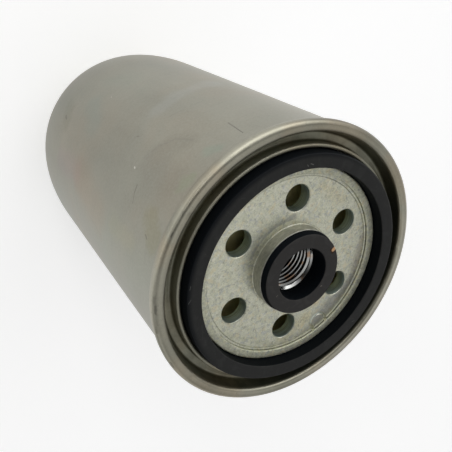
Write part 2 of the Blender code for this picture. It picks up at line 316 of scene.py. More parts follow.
def satin_can():
    look = Look("satin_can_steel", Metallic=1.0)
    angle, radius, height = look.polar()
    cloud = look.noise(34.0, 4.0, 0.55, warp=0.5)
    smear = look.noise(1.0, 5.0, 0.6, at=look.stretch(70.0, 70.0, 22.0))
    streaks = look.noise(1.0, 3.0, 0.6, at=look.stretch(90.0, 90.0, 1100.0))
    grain = look.noise(1500.0, 2.0, 0.6)
    fine = look.noise(4200.0, 2.0, 0.6)
    tone = look.maths("ADD", look.maths("MULTIPLY", cloud, 0.6), look.maths("MULTIPLY", smear, 0.4))
    base = look.blend(look.span(tone, 0.34, 0.66), (0.352, 0.344, 0.284), (0.420, 0.408, 0.340))
    hue = look.noise(22.0, 3.0, 0.5, at=look.shifted(0.31, 0.17, 0.05), warp=0.4)
    base = look.blend(look.span(hue, 0.50, 0.66), base, look.blend(1.0, base, (0.955, 1.005, 1.01), "MULTIPLY"))
    base = look.blend(look.span(hue, 0.46, 0.32), base, look.blend(1.0, base, (1.035, 0.985, 0.955), "MULTIPLY"))
    # handling stains: (start, end, half width, tint)
    edge = look.ragged(120.0, 4.0)
    for start, end, width, tint in (
            (on_wall(-121.0, 92.0), on_wall(-149.0, 87.0), 6.0, (1.07, 1.09, 1.14)),
            (on_wall(-96.0, 34.0), on_wall(-88.0, 41.0), 5.0, (0.91, 0.92, 0.90)),
            (on_wall(-104.0, 52.0), on_wall(-95.0, 66.0), 6.5, (0.95, 1.00, 1.02)),
            (on_wall(-70.0, 46.0), on_wall(-73.0, 66.0), 7.0, (1.02, 0.965, 1.01)),
            (on_wall(-72.0, 70.0), on_wall(-66.0, 92.0), 10.0, (1.03, 0.970, 0.935)),
            (on_wall(-98.0, 114.0), on_wall(-97.0, 126.0), 9.0, (0.935, 0.930, 0.930)),
            (on_wall(-108.0, 112.0), on_wall(-113.0, 119.0), 5.0, (0.945, 0.940, 0.935)),
            (on_wall(-115.0, 131.0), on_wall(-118.0, 132.5), 3.6, (0.94, 1.03, 1.02)),
            (on_wall(-100.0, 132.0), on_wall(-104.0, 134.0), 3.2, (0.97, 1.04, 0.97)),
            (on_wall(-83.0, 127.0), on_wall(-77.0, 134.0), 5.0, (0.93, 0.915, 0.83)),
            (on_wall(-69.0, 106.0), on_wall(-69.0, 120.0), 5.0, (1.045, 1.035, 0.98)),
            (on_wall(20.0, 70.0), on_wall(44.0, 96.0), 8.0, (0.94, 0.945, 0.95)),
            (on_wall(120.0, 100.0), on_wall(150.0, 112.0), 7.0, (1.05, 1.05, 1.06)),
            (on_wall(84.0, 50.0), on_wall(70.0, 74.0), 9.0, (1.03, 0.975, 0.935))):
        base = look.blend(look.mark(start, end, width, 0.75, at=edge), base,
                          look.blend(1.0, base, tint, "MULTIPLY"))
    # the rim of the rounded stain near the seam, and a wiped line above it
    tide = look.marks([
        (on_wall(-99.0, 108.0), on_wall(-106.0, 110.0), 0.55, 0.14), (on_wall(-106.0, 110.0), on_wall(-112.0, 114.0), 0.55, 0.20),
        (on_wall(-112.0, 114.0), on_wall(-115.5, 121.0), 0.6, 0.16), (on_wall(-119.0, 101.0), on_wall(-133.0, 102.5), 0.5, 0.20),
        (on_wall(-96.0, 101.0), on_wall(-92.0, 106.0), 0.5, 0.08)], at=look.ragged(400.0, 0.7))
    base = look.blend(tide, base, (0.24, 0.24, 0.21))
    base = look.blend(look.maths("MULTIPLY", look.span(streaks, 0.56, 0.72), 0.10), base, (0.29, 0.28, 0.24))
    base = look.blend(look.maths("MULTIPLY", look.span(grain, 0.50, 0.70), 0.13), base, (0.54, 0.53, 0.47))
    base = look.blend(look.maths("MULTIPLY", look.span(grain, 0.46, 0.30), 0.15), base, (0.23, 0.22, 0.19))
    worn = look.marks([
        (on_wall(-129.3, 123.6), on_wall(-128.9, 127.4), 0.30, 0.42), (on_wall(-128.9, 127.4), on_wall(-128.3, 132.6), 0.22, 0.62),
        (on_wall(-89.2, 112.9), on_wall(-86.5, 113.4), 0.34, 0.42), (on_wall(-86.5, 113.4), on_wall(-82.8, 114.9), 0.26, 0.36),
        (on_wall(-90.5, 37.0), on_wall(-89.5, 39.0), 0.6, 0.40),
        (on_wall(-77.4, 127.7), on_wall(-76.6, 128.9), 0.35, 0.40),
        (on_wall(-104.0, 96.0), on_wall(-104.6, 97.0), 0.30, 0.30),
        (on_wall(-60.0, 84.0), on_wall(-57.5, 96.0), 0.12, 0.25),
        (on_wall(12.0, 60.0), on_wall(15.0, 88.0), 0.14, 0.35),
        (on_wall(150.0, 40.0), on_wall(147.0, 71.0), 0.16, 0.40),
        (on_wall(95.0, 98.0), on_wall(99.0, 118.0), 0.14, 0.35)])
    base = look.blend(worn, base, (0.13, 0.125, 0.11))
    bright = look.marks([(on_wall(-93.9, 106.2), on_wall(-93.6, 106.8), 0.32, 0.8),
                         (on_wall(-112.0, 60.0), on_wall(-111.8, 60.4), 0.25, 0.5),
                         (on_wall(40.0, 116.0), on_wall(41.0, 117.2), 0.3, 0.6)])
    look.colour(look.blend(bright, base, (0.80, 0.79, 0.72)))
    rough = look.span(look.maths("ADD", tone, look.maths("MULTIPLY", streaks, 0.3)), 0.4, 0.9, 0.35, 0.45)
    look.roughness(rough)
    skin = look.relief(grain, 0.016, 0.5, under=look.relief(fine, 0.008, 0.4))
    drawn = look.relief(streaks, 0.020, 0.25, under=skin)
    look.normal(look.relief(worn, -0.03, 0.6, under=drawn))
    return look.mat


def zinc_tone(look):
    """Fine spangled zinc: pale flakes with blue-grey, straw and dark grains, and the grain's height."""
    flake = look.cells(1150.0, at=look.ragged(1500.0, 0.35), output=1)
    split = look.add("SeparateXYZ", flake)
    lit, tint, _ = split.outputs
    fine = look.noise(2100.0, 3.0, 0.70)
    mottle = look.noise(520.0, 4.0, 0.62, warp=0.5)
    specks = look.noise(820.0, 3.0, 0.6, warp=0.3)
    straw = look.noise(640.0, 2.0, 0.5, at=look.shifted(0.37, 0.11, 0.05))
    dark = look.noise(1050.0, 3.0, 0.6, at=look.shifted(0.13, 0.41, 0.22), warp=0.4)
    tone = look.maths("ADD", look.maths("MULTIPLY", fine, 0.60), look.maths("MULTIPLY", mottle, 0.40))
    base = look.blend(look.span(tone, 0.34, 0.66), (0.580, 0.592, 0.455), (0.965, 0.965, 0.785))
    base = look.blend(look.span(lit, 0.0, 1.0, 0.0, 0.26), base, (0.52, 0.54, 0.44))
    base = look.blend(look.span(tint, 0.62, 1.0, 0.0, 0.30), base, (0.98, 0.96, 0.88))
    base = look.blend(look.maths("MULTIPLY", look.span(specks, 0.54, 0.64), 0.45), base, (0.45, 0.48, 0.52))
    base = look.blend(look.maths("MULTIPLY", look.span(straw, 0.56, 0.68), 0.36), base, (0.86, 0.74, 0.46))
    base = look.blend(look.maths("MULTIPLY", look.span(dark, 0.57, 0.66), 0.45), base, (0.33, 0.33, 0.26))
    height = look.maths("ADD", look.maths("MULTIPLY", fine, 1.0), look.maths("MULTIPLY", lit, 0.35))
    return base, tone, height


def band(look, value, low, high, soft):
    """1 where value lies between low and high (mm), with edges softened over soft mm."""
    up = look.span(value, (low - soft) * MM, (low + soft) * MM, smooth=True)
    down = look.span(value, (high - soft) * MM, (high + soft) * MM, 1.0, 0.0, smooth=True)
    return look.maths("MULTIPLY", up, down)


def lid_finish():
    look = Look("lid_steel_finish", Metallic=1.0)
    angle, radius, height = look.polar()
    zinc, tone, zinc_height = zinc_tone(look)
    cloud = look.noise(80.0, 4.0, 0.6)
    rings = look.noise(1.0, 4.0, 0.65, at=look.add(
        "CombineXYZ", look.maths("MULTIPLY", radius, 2600.0), look.maths("MULTIPLY", height, 2600.0),
        look.maths("MULTIPLY", angle, 2.0)).outputs[0])
    scuff = look.noise(950.0, 5.0, 0.7, warp=0.6)
    grain = look.noise(1700.0, 2.0, 0.6)
    base = look.blend(look.span(cloud, 0.35, 0.65), (0.440, 0.427, 0.335), (0.530, 0.514, 0.412))
    warm = look.noise(60.0, 3.0, 0.5, at=look.shifted(0.2, 0.5, 0.1), warp=0.5)
    base = look.blend(look.span(warm, 0.50, 0.66), base, look.blend(1.0, base, (1.06, 0.985, 0.93), "MULTIPLY"))
    base = look.blend(look.maths("MULTIPLY", look.span(scuff, 0.57, 0.72), 0.42), base, (0.24, 0.23, 0.19))
    base = look.blend(look.maths("MULTIPLY", look.span(rings, 0.55, 0.75), 0.30), base, (0.33, 0.32, 0.27))
    base = look.blend(look.maths("MULTIPLY", look.span(grain, 0.52, 0.70), 0.16), base, (0.72, 0.70, 0.62))
    # the pressed trough and bead inside the rim are duller; the trough's colour is darkened with a mottle as painted
    # shade in the recess, and the bead is drawn a little darker all round
    trough = look.maths("MULTIPLY", band(look, radius, 36.95, 40.65, 0.14), look.span(height, (FACE + 1.7) * MM, (FACE + 1.2) * MM))
    trough_shade_mottle = look.noise(260.0, 4.0, 0.6, warp=0.5)
    base = look.blend(trough, base, look.blend(1.0, base, look.blend(
        look.span(trough_shade_mottle, 0.35, 0.65), (0.45, 0.46, 0.45), (0.59, 0.60, 0.58)), "MULTIPLY"))
    base = look.blend(band(look, radius, 35.4, 36.95, 0.10), base, look.blend(1.0, base, (0.85, 0.86, 0.86), "MULTIPLY"))
    # the rim a little darker all round, painted shade on the shoulder round one side, a painted highlight on the rim at
    # the far side, and painted shade in the far groove
    west = look.maths("DIVIDE", look.add("SeparateXYZ", look.at).outputs[0], radius)
    north = look.maths("DIVIDE", look.add("SeparateXYZ", look.at).outputs[1], radius)
    rim = look.span(radius, 40.8 * MM, 41.4 * MM, smooth=True)
    facing = look.maths("ADD", look.maths("MULTIPLY", west, -0.966), look.maths("MULTIPLY", north, 0.259))
    painted_shoulder_shade = look.maths("MULTIPLY", look.span(radius, 42.75 * MM, 43.15 * MM, smooth=True), look.span(facing, 0.50, 0.95, smooth=True))
    base = look.blend(rim, base, look.blend(1.0, base, (0.875, 0.875, 0.885), "MULTIPLY"))
    base = look.blend(painted_shoulder_shade, base, look.blend(1.0, base, (0.50, 0.50, 0.51), "MULTIPLY"))
    # painted highlight: the rim's colour is raised on the far side
    base = look.blend(look.maths("MULTIPLY", rim, look.span(north, 0.55, 0.90, smooth=True)), base,
                      look.blend(1.0, base, (1.22, 1.22, 1.26), "MULTIPLY"))
    # painted shade: the far part of the trough is darkened
    base = look.blend(look.maths("MULTIPLY", trough, look.span(north, 0.20, 0.75, smooth=True)), base,
                      look.blend(1.0, base, (0.38, 0.42, 0.44), "MULTIPLY"))
    # knocks and dull rub marks round the shoulder
    rub = look.marks([
        (on_face(-93.6, 43.3, 2.1), on_face(-62.0, 43.3, 2.1), 0.35, 0.34), (on_face(-62.0, 43.35, 2.0), on_face(-48.0, 43.35, 2.0), 0.55, 0.40),
        (on_face(-48.0, 43.3, 2.1), on_face(-8.0, 43.3, 2.1), 0.30, 0.34), (on_face(-59.0, 43.2, 2.2), on_face(-56.0, 43.2, 2.2), 0.45, 0.75),
        (on_face(-86.0, 43.2, 2.2), on_face(-84.5, 43.2, 2.2), 0.28, 0.60), (on_face(-33.0, 43.3, 2.1), on_face(-30.0, 43.3, 2.1), 0.32, 0.60),
        (on_face(160.0, 43.2, 2.3), on_face(172.0, 43.2, 2.3), 0.30, 0.30), (on_face(58.0, 42.8, 2.55), on_face(63.0, 42.8, 2.55), 0.26, 0.35)],
        at=look.ragged(900.0, 0.22))
    base = look.blend(rub, base, (0.16, 0.155, 0.13))
    inner = look.span(radius, 33.0 * MM, 31.0 * MM)
    look.colour(look.blend(inner, base, zinc))
    rough = look.span(look.maths("ADD", cloud, scuff), 0.7, 1.3, 0.33, 0.46)
    rough = look.mix(trough, rough, 0.42)
    rough = look.mix(band(look, radius, 35.4, 36.95, 0.10), rough, 0.56)
    look.roughness(look.mix(inner, rough, look.span(tone, 0.34, 0.66, 0.56, 0.70)))
    under = look.relief(zinc_height, 0.012, look.maths("MULTIPLY", inner, 0.4))
    under = look.relief(grain, 0.014, 0.45, under=under)
    under = look.relief(rings, 0.010, 0.4, under=under)
    look.normal(look.relief(rub, -0.04, 0.5, under=look.relief(scuff, 0.014, 0.4, under=under)))
    return look.mat


def spangled_plate():
    look = Look("spangled_zinc_plate", Metallic=1.0)
    angle, radius, height = look.polar()
    base, tone, grain = zinc_tone(look)
    up = look.maths("SUBTRACT", height, FACE * MM)
    face = look.maths("MULTIPLY", look.span(radius, 14.4 * MM, 14.8 * MM), look.span(up, -0.12 * MM, -0.02 * MM))
    # on the face: a grey patch at the far side, faint pink and tan tint stains, rubbed arcs near the edge, and painted
    # reflection of the dark hub seal beside the hub
    edge = look.ragged(260.0, 1.4)
    for start, end, width, tint in (
            (on_face(60.0, 25.0), on_face(96.0, 27.5), 3.4, (0.70, 0.70, 0.76)),
            (on_face(104.0, 26.6), on_face(128.0, 27.0), 2.4, (0.86, 0.83, 0.84)),
            (on_face(66.0, 19.0), on_face(100.0, 17.0), 3.0, (1.00, 0.93, 0.84)),
            (on_face(30.0, 25.0), on_face(52.0, 22.0), 3.2, (1.00, 0.95, 0.85)),
            (on_face(-20.0, 27.0), on_face(24.0, 27.0), 1.6, (0.93, 0.93, 0.90)),
            (on_face(168.0, 24.0), on_face(-170.0, 25.0), 2.6, (1.00, 0.96, 0.90)),
            # painted reflection: the next three darken the face beside the hub, where the dark hub seal is reflected
            (on_face(-146.0, 15.4), on_face(-118.0, 14.9), 1.6, (0.64, 0.65, 0.71)),
            (on_face(-112.0, 14.8), on_face(-84.0, 14.8), 1.5, (0.70, 0.71, 0.77)),
            (on_face(-128.0, 16.5), on_face(-95.0, 17.0), 2.0, (0.92, 0.93, 0.96))):
        hit = look.maths("MULTIPLY", look.mark(start, end, width, 0.8, at=edge), face)
        base = look.blend(hit, base, look.blend(1.0, base, tint, "MULTIPLY"))
    ring = look.maths("MULTIPLY", band(look, radius, 27.55, 27.95, 0.16), face)
    base = look.blend(look.maths("MULTIPLY", ring, 0.62), base, (0.38, 0.365, 0.285))
    # the pressed lobe is drawn darker and greyer
    lobe = look.marks([(on_face(60.0, 27.4), on_face(60.0, 26.2), 2.7, 0.42)], at=look.ragged(500.0, 0.3))
    base = look.blend(look.maths("MULTIPLY", lobe, face), base, (0.50, 0.50, 0.44))
    # the hub's drawn wall is smoother and greyer than the sheet round it
    wall = look.maths("MULTIPLY", band(look, radius, 12.0, 12.97, 0.03), look.span(up, 0.02 * MM, 0.12 * MM))
    drawn = look.noise(1.0, 3.0, 0.6, at=look.stretch(700.0, 700.0, 2600.0))
    base = look.blend(wall, base, look.blend(look.span(drawn, 0.35, 0.65), (0.37, 0.37, 0.325), (0.55, 0.545, 0.480)))
    # punched walls of the inlet holes: bare, oily and dark, brighter where the punch broke through
    punched = look.maths("MULTIPLY", band(look, radius, 16.3, 25.7, 0.2), look.span(up, -0.14 * MM, -0.40 * MM))
    lines = look.noise(1.0, 2.0, 0.5, at=look.stretch(60.0, 60.0, 3600.0))
    base = look.blend(punched, base, look.blend(look.span(lines, 0.35, 0.65), (0.40, 0.48, 0.47), (0.72, 0.84, 0.82)))
    # cut thread: bright, with a warm stain here and there
    cut_thread = look.span(radius, 8.45 * MM, 8.25 * MM)
    stain = look.noise(260.0, 3.0, 0.55, at=look.shifted(0.07, 0.02, 0.0))
    base = look.blend(cut_thread, base, look.blend(look.span(stain, 0.54, 0.62), (0.76, 0.77, 0.75), (0.74, 0.52, 0.37)))
    look.colour(base)
    rough = look.span(tone, 0.34, 0.66, 0.31, 0.43)
    rough = look.mix(wall, rough, 0.48)
    rough = look.mix(punched, rough, 0.50)
    look.roughness(look.mix(cut_thread, rough, 0.15))
    depth = look.maths("MULTIPLY", grain, look.maths("SUBTRACT", 1.0, look.maths("MAXIMUM", cut_thread, wall)))
    look.normal(look.relief(depth, 0.016, 0.45))
    return look.mat


def rubber(name, colour, rough, dust=0.10, specular=0.33, chips=(), dark_below=None, edge_shade_radii=None):
    look = Look(name, Metallic=0.0, Specular_IOR_Level=specular)
    angle, radius, height = look.polar()
    pores = look.noise(2400.0, 3.0, 0.6)
    scuff = look.noise(300.0, 5.0, 0.65, warp=0.8)
    rings = look.noise(1.0, 3.0, 0.6, at=look.add(
        "CombineXYZ", look.maths("MULTIPLY", radius, 1500.0), look.maths("MULTIPLY", height, 1500.0), 0.0).outputs[0])
    light = tuple(min(1.0, c * 2.0 + 0.006) for c in colour)
    base = look.blend(look.maths("MULTIPLY", look.span(scuff, 0.50, 0.75), dust * 4), colour, light)
    specks = look.cells(700.0)
    base = look.blend(look.maths("MULTIPLY", look.span(specks, 0.10, 0.05), dust * 3), base, (0.12, 0.115, 0.10))
    if edge_shade_radii is not None:
        # painted shade: one side's rounded outer edge is drawn darker, as light falls less on it there: (radius where
        # it starts and is full, in mm)
        x, y, _ = look.add("SeparateXYZ", look.at).outputs
        facing = look.maths("DIVIDE", look.maths("ADD", look.maths("MULTIPLY", x, -0.191), look.maths("MULTIPLY", y, -0.982)), radius)
        painted_edge_shade = look.maths("MULTIPLY", look.span(radius, edge_shade_radii[0] * MM, edge_shade_radii[1] * MM, smooth=True), look.span(facing, -0.1, 0.6, smooth=True))
        base = look.blend(painted_edge_shade, base, tuple(c * k for c, k in zip(colour, (0.24, 0.28, 0.34))))
    if dark_below is not None:
        # the walls below the top face are cleaner and blacker
        wall = look.span(height, (FACE + dark_below) * MM, (FACE + dark_below - 0.12) * MM)
        base = look.blend(wall, base, tuple(c * k for c, k in zip(colour, (0.04, 0.08, 0.13))))
    for table, tint in chips:
        base = look.blend(look.marks(table, at=look.ragged(1500.0, 0.12)), base, tint)
    look.colour(base)
    dull = look.span(scuff, 0.3, 0.7, rough - 0.06, rough + 0.10)
    look.roughness(dull if dark_below is None else look.mix(wall, dull, 0.74))
    look.normal(look.relief(pores, 0.03, 0.35, under=look.relief(rings, 0.02, 0.3)))
    return look.mat


def sheet_metal(name, light, dark, rough, metallic=0.9, scale=120.0):
    look = Look(name, Metallic=metallic)
    angle, radius, height = look.polar()
    cloud = look.noise(scale, 5.0, 0.6, warp=0.5)
    scratch = look.noise(1.0, 3.0, 0.6, at=look.add(
        "CombineXYZ", look.maths("MULTIPLY", radius, 1800.0), look.maths("MULTIPLY", height, 1800.0), 0.0).outputs[0])
    look.colour(look.blend(look.span(cloud, 0.35, 0.68), dark, light))
    look.roughness(look.span(cloud, 0.3, 0.7, rough + 0.08, rough - 0.05))
    look.normal(look.relief(scratch, 0.012, 0.35))
    return look.mat


def soft_matter(name, light, dark, rough, scale, relief_mm):
    look = Look(name, Metallic=0.0)
    blotch = look.noise(scale, 5.0, 0.6, warp=0.3)
    grain = look.noise(scale * 14, 3.0, 0.6)
    look.colour(look.blend(look.span(look.maths("ADD", look.maths("MULTIPLY", blotch, 0.7),
                                                look.maths("MULTIPLY", grain, 0.3)), 0.35, 0.65), dark, light))
    look.roughness(look.span(blotch, 0.3, 0.7, rough - 0.06, rough + 0.06))
    look.normal(look.relief(grain, relief_mm, 0.5))
    return look.mat


def filter_paper():
    look = Look("filter_paper_look", Metallic=0.0)
    fibres = look.noise(1.0, 6.0, 0.7, at=look.stretch(2600.0, 2600.0, 700.0), warp=0.6)
    blotch = look.noise(90.0, 3.0, 0.5)
    base = look.blend(look.span(fibres, 0.35, 0.68), (0.50, 0.34, 0.12), (0.70, 0.53, 0.25))
    look.colour(look.blend(look.maths("MULTIPLY", look.span(blotch, 0.5, 0.7), 0.3), base, (0.44, 0.28, 0.09)))
    look.roughness(look.span(fibres, 0.3, 0.7, 0.80, 0.95))
    look.normal(look.relief(fibres, 0.05, 0.6))
    return look.mat


CAN = satin_can()
LID = lid_finish()
ZINC = spangled_plate()
GASKET = rubber("gasket_rubber_look", (0.0315, 0.0320, 0.0312), 0.50, specular=0.10, dark_below=4.22, edge_shade_radii=(33.6, 35.3), chips=[
    ([(on_face(-150.5, 32.3, 4.4), on_face(-149.0, 32.6, 4.4), 0.13, 0.75), (on_face(-147.6, 32.0, 4.4), on_face(-147.0, 32.5, 4.4), 0.12, 0.7),
      (on_face(-60.0, 34.3, 4.4), on_face(-58.0, 35.1, 4.4), 0.10, 0.45), (on_face(-66.5, 34.8, 4.4), on_face(-64.8, 34.9, 4.4), 0.10, 0.45),
      (on_face(75.0, 33.5, 4.4), on_face(76.4, 33.9, 4.4), 0.10, 0.4)], (0.22, 0.22, 0.21)),
    ([(on_face(-44.0, 32.0, 4.4), on_face(-36.0, 33.2, 4.4), 0.22, 0.5), (on_face(-112.0, 33.0, 4.4), on_face(-110.6, 33.6, 4.4), 0.16, 0.5)],
     (0.05, 0.052, 0.050))])
GROMMET = rubber("hub_seal_rubber_look", (0.0440, 0.0424, 0.0410), 0.50, specular=0.10, dark_below=5.85, chips=[
    ([(on_face(147.0, 11.0, 6.0), on_face(153.5, 10.9, 6.0), 0.55, 0.85), (on_face(146.0, 11.8, 5.95), on_face(146.5, 12.2, 5.9), 0.3, 0.8)],
     (0.040, 0.022, 0.012)),
    ([(on_face(150.5, 11.5, 6.0), on_face(151.5, 12.3, 5.7), 0.72, 1.0)], (0.70, 0.42, 0.23)),
    ([(on_face(82.0, 8.9, 6.0), on_face(84.0, 9.2, 6.0), 0.16, 0.7), (on_face(-31.0, 9.4, 6.0), on_face(-30.0, 9.9, 6.0), 0.14, 0.45)],
     (0.24, 0.22, 0.19))])
WASHER = rubber("washer_rubber_look", (0.012, 0.012, 0.012), 0.60)
COMPOUND = soft_matter("seam_compound_look", (0.60, 0.59, 0.55), (0.48, 0.47, 0.43), 0.7, 300.0, 0.03)
CAP = sheet_metal("oiled_cap_steel", (0.92, 0.82, 0.44), (0.66, 0.56, 0.27), 0.60, 0.30)
POTTING = soft_matter("plastisol_look", (0.38, 0.28, 0.11), (0.26, 0.18, 0.06), 0.5, 220.0, 0.04)
PAPER = filter_paper()
CLIP = sheet_metal("clip_steel_look", (0.62, 0.61, 0.58), (0.48, 0.47, 0.44), 0.34)
TUBE = sheet_metal("tube_steel_look", (0.60, 0.60, 0.56), (0.46, 0.45, 0.41), 0.34)
SEAT = sheet_metal("seat_steel_look", (0.55, 0.54, 0.49), (0.42, 0.41, 0.36), 0.36)
SPRING = sheet_metal("spring_steel_look", (0.24, 0.24, 0.24), (0.13, 0.13, 0.13), 0.32, 0.95, 400.0)

# ================================================================ housing
BASE = -FACE                            # the closed end's outer face
shoulder_out = [(32.0 + 10.55 * sin(pi / 2 * k / 40), BASE + 37.0 * (1 - cos(pi / 2 * k / 40))) for k in range(41)]
shoulder_in = [(32.0 + 9.85 * sin(pi / 2 * k / 24), BASE + 0.7 + 36.3 * (1 - cos(pi / 2 * k / 24))) for k in range(25)]
neck_out = [(42.55 + 0.17 * ((z + 10.0) / 8.0) ** 2, z) for z in (-10.0, -8.5, -7.0, -5.5, -4.2, -3.1, -2.2)]
flange = rounded([(42.72, -1.6, 0.0), (42.74, -0.9, 0.3), (42.9, -0.4, 0.2), (42.9, 1.05, 0.3), (41.5, 1.05, 0.3),
                  (41.5, -2.2, 0.6), (41.85, -4.5, 0.6), (41.85, -6.0, 0.0)])[:-1]
can_profile = ([(0.0, BASE)] + [(r, BASE) for r in (8.0, 16.0, 24.0, 30.0)] + shoulder_out
               + finer([shoulder_out[-1], neck_out[0]], 6.0, closed=False)[1:-1] + neck_out + flange
               + [(41.85, -6.0)] + finer([(41.85, -6.0), shoulder_in[-1]], 12.0, closed=False)[1:-1]
               + shoulder_in[::-1] + [(20.0, BASE + 0.7), (0.0, BASE + 0.7)])


def can_warp(r, z, angle):
    """The drawn wall isn't perfectly true: a few hundredths of a millimetre of slow waves, none at the flat end."""
    share = min(1.0, max(0.0, (z - BASE - 20.0) / 30.0)) * min(1.0, max(0.0, (-3.0 - z) / 8.0))
    return r + share * (wander(angle, 1.3, 0.035) + 0.02 * sin(z / 13.0 + 2 * angle)), z


can = turned("drawn_canister", can_profile, closed=False, warp=can_warp)
stands_for(can, "canister", "housing", CAN)

lid_profile = rounded([
    (28.3, 0.20, 0.05), (28.3, 0.75, 0.26), (30.9, 0.75, 0.5), (30.9, -2.5, 0.35), (35.75, -2.5, 0.35),
    (35.72, 1.18, 0.59), (36.90, 1.18, 0.59), (36.95, -2.4, 0.75), (39.75, -2.4, 0.9), (40.6, 2.6, 1.35),
    (43.8, 2.6, 1.5), (43.8, 0.2, 2.0), (43.45, -1.2, 0.2), (42.97, -1.2, 0.2), (43.2, 0.2, 2.0), (43.2, 2.0, 0.6),
    (41.2, 2.0, 0.6), (40.35, -3.0, 0.4), (30.3, -3.1, 0.3), (30.3, 0.20, 0.1)])


def lid_warp(r, z, angle):
    """Rolling leaves the rim a little uneven, with a few knocks on its inner top edge."""
    if r > 40.0 and z > -1.5:
        high = min(1.0, max(0.0, (z + 1.5) / 3.0))
        z += high * wander(angle, 0.7, 0.05)
        if r > 43.0:
            r += wander(angle, 2.9, 0.03)
        if r < 42.0 and z > 1.0:
            for centre, width, depth in ((-93.2, 0.9, 0.30), (-20.0, 1.2, 0.20), (118.0, 1.0, 0.22)):
                z -= depth * bump_at(angle, centre, width)
                r -= 0.4 * depth * bump_at(angle, centre, width)
    return r, z


lid = turned("rolled_seaming_lid", finer(lid_profile, 0.8), segments=360, warp=lid_warp)
stands_for(lid, "seaming_lid", "housing", LID)

compound = turned("seam_compound_ring", rounded([(41.65, 1.35, 0.1), (42.75, 1.35, 0.1), (42.75, 1.68, 0.1),
                                                 (41.65, 1.68, 0.1)], 30.0), segments=128)
stands_for(compound, "seam_compound", "housing", COMPOUND)

# ---- base plate: plate, hub and a true M16 x 1.5 thread cut as a helicoid
PITCH, MINOR, MAJOR = 1.5, 7.19, 8.0
SEGS = 192


def thread_radius(share):
    """Bore radius across one pitch: a narrow crest at the minor radius, 30 degree flanks, a root at the major."""
    crest, root = 0.25, 0.125
    flank = (1 - crest - root) / 2
    share %= 1.0
    if share < crest:
        return MINOR
    if share < crest + flank:
        return MINOR + (MAJOR - MINOR) * (share - crest) / flank
    if share < crest + flank + root:
        return MAJOR
    return MAJOR - (MAJOR - MINOR) * (share - crest - flank - root) / flank


def threaded_bore(low, high):
    """Rows of the bore that climb with the helix and are flattened against its two ends, which are chamfered."""
    per_pitch = 16
    rows = int((high - low) / PITCH * per_pitch) + per_pitch + 2
    grid = []
    for k in range(rows):
        row = []
        for j in range(SEGS + 1):
            angle = 2 * pi * j / SEGS
            raw = low - PITCH + k * PITCH / per_pitch + PITCH * j / SEGS
            z = min(high, max(low, raw))
            r = thread_radius(k / per_pitch)
            r = max(r, 8.15 - (high - z), 8.0 - (z - low) * 1.2)
            if raw <= low:
                r = 8.0
            if raw >= high:
                r = 8.15
            row.append((r * cos(angle), r * sin(angle), z))
        grid.append(row)
    points, faces = [], []
    for row in grid:
        points.extend(row)
    width = SEGS + 1
    for k in range(rows - 1):
        for j in range(SEGS):
            a, b = k * width + j, (k + 1) * width + j
            quad = [a, a + 1, b + 1, b]
            if len({tuple(round(v, 5) for v in points[i]) for i in quad}) > 2:
                faces.append(quad)
    return points, faces


plate_line = rounded([
    (8.15, -0.3, 0.0), (11.6, -0.3, 0.15), (11.6, 3.8, 0.25), (12.92, 3.8, 0.2), (12.86, 0.0, 0.15),
    (13.04, 0.0, 0.0), (13.1, -0.06, 0.02), (13.24, -0.06, 0.02), (13.34, 0.0, 0.0), (27.35, 0.0, 0.0), (27.6, -0.10, 0.06),
    (27.9, -0.10, 0.06), (28.15, 0.0, 0.0),
    (30.0, 0.0, 0.3), (30.0, -4.0, 0.3), (11.0, -4.0, 1.2), (11.0, -10.0, 0.4), (8.0, -10.0, 0.0)])
plate_points, plate_faces = turned_grid(plate_line, SEGS, closed=False)
bore_points, bore_faces = threaded_bore(-10.0, -0.3)
shift = len(plate_points)
plate = piece("threaded_base_plate", plate_points + bore_points,
              plate_faces + [[i + shift for i in face] for face in bore_faces])
punch = [(0.0, 1.0), (4.75, 1.0), (4.42, 0.06), (4.33, -0.006), (4.2, -0.055), (4.09, -0.15), (4.02, -0.27),
         (4.0, -0.42), (4.0, -3.75), (4.06, -3.9), (4.12, -4.2), (4.12, -5.0), (0.0, -5.0)]
punches = []
for k in range(6):
    around = -pi / 2 + pi * k / 3
    pts, fcs = turned_grid(punch, 72, closed=False)
    pts = [(x + 21.0 * cos(around), y + 21.0 * sin(around), z) for x, y, z in pts]
    punches.append(piece(f"punch_{k}", pts, fcs))

# a small U-shaped lobe pressed beside the lid, open towards it: its outline is a shallow groove
outline = ([(28.6 - 0.25 * k, 2.6) for k in range(10)] + [(26.3 - 2.6 * sin(pi * k / 16), 2.6 * cos(pi * k / 16)) for k in range(17)]
           + [(26.35 + 0.25 * k, -2.6) for k in range(10)])
pts, fcs = [], []
for i, (r, side) in enumerate(outline):
    (r0, s0), (r1, s1) = outline[max(0, i - 1)], outline[min(len(outline) - 1, i + 1)]
    along = Vector((r1 - r0, s1 - s0)).normalized()
    for k in range(16):
        across, lift = 0.62 * cos(2 * pi * k / 16), 0.62 * sin(2 * pi * k / 16)
        rr, ss = r - along.y * across, side + along.x * across
        pts.append((rr * cos(pi / 3) - ss * sin(pi / 3), rr * sin(pi / 3) + ss * cos(pi / 3), 0.33 + lift))
for i in range(len(outline) - 1):
    fcs.extend([i * 16 + k, i * 16 + (k + 1) % 16, i * 16 + 16 + (k + 1) % 16, i * 16 + 16 + k] for k in range(16))
fcs.append(list(range(16)))
fcs.append([(len(outline) - 1) * 16 + k for k in range(16)])
punches.append(piece("lobe_outline", pts, fcs))
carve(plate, punches)
stands_for(plate, "base_plate", "housing", ZINC)

# ---- rubber
gasket = turned("sealing_gasket", finer(rounded([
    (31.1, -2.2, 0.2), (31.1, 4.4, 0.25), (35.45, 4.4, 0.65), (35.45, -2.2, 0.2)]), 1.0),
    warp=lambda r, z, a: (r + wander(a, 4.4, 0.04), z + (wander(a, 5.1, 0.04) if z > 0 else 0.0)))
stands_for(gasket, "outer_gasket", "housing", GASKET)

